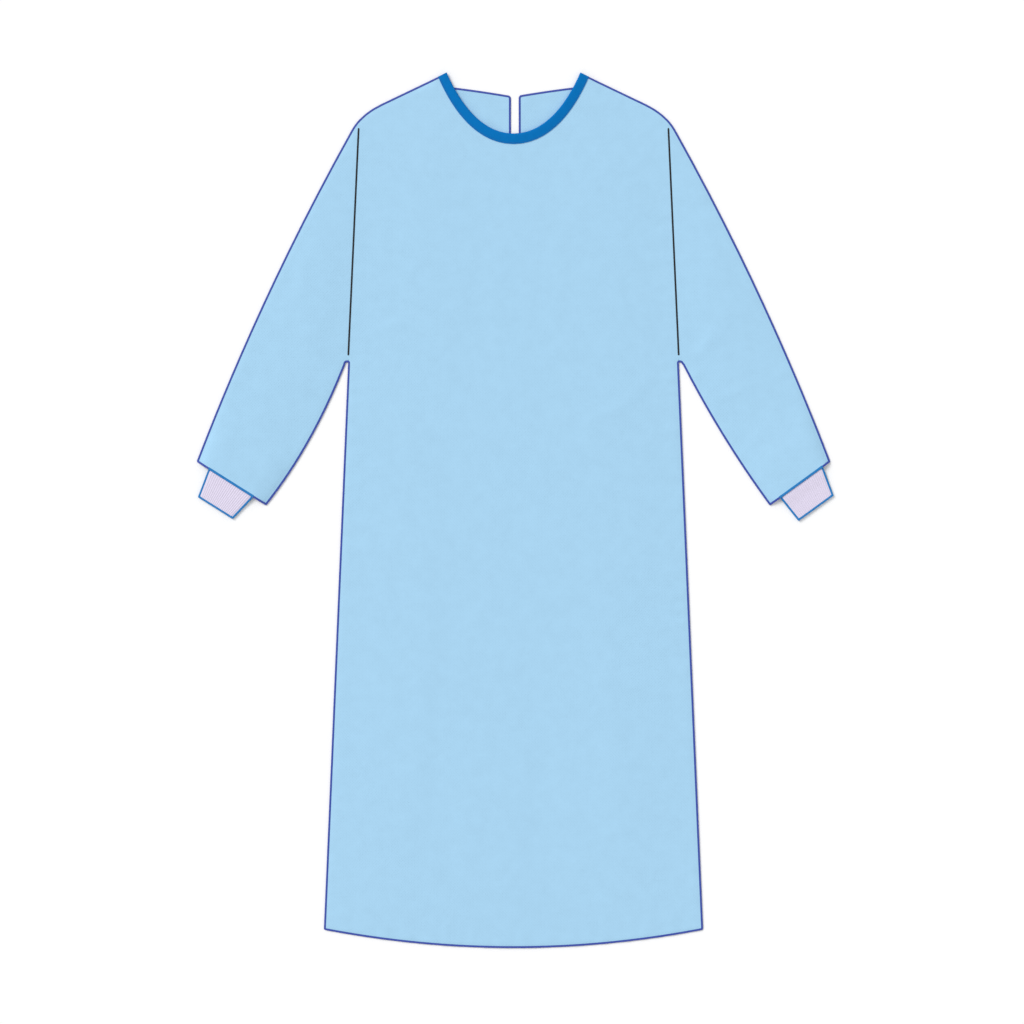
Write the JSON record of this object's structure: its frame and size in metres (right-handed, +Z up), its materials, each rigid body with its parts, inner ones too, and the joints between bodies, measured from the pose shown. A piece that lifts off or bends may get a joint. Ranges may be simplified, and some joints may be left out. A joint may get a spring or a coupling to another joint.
{
  "type": "visitor gown laid flat",
  "caption": "Long-sleeved visitor gown laid flat, front up, with a bound scoop neck, a back opening, a curved hem and knitted cuffs that come out of wide sleeve mouths.",
  "frame": {"origin": "middle of the gown's box, on the floor it lies on", "axes": "+Z up off the floor, +Y towards the neck, +X to the right of the gown as it is seen from above"},
  "size_m": [0.8735, 1.2, 0.0067],
  "materials": {
    "nonwoven": "light-blue spunbond polypropylene nonwoven, matt",
    "binding_tape": "dark-blue woven binding tape, folded and stitched",
    "rib_knit": "pale-lilac polyester rib knit"
  },
  "bodies": {
    "root": {"front_panel": "nonwoven", "back_panel_left": "nonwoven", "back_panel_right": "nonwoven", "sleeve_front_left": "nonwoven", "sleeve_front_right": "nonwoven", "sleeve_back_left": "nonwoven", "sleeve_back_right": "nonwoven", "cuff_left": "rib_knit", "cuff_right": "rib_knit", "neck_binding": "binding_tape"}
  },
  "joints": []
}
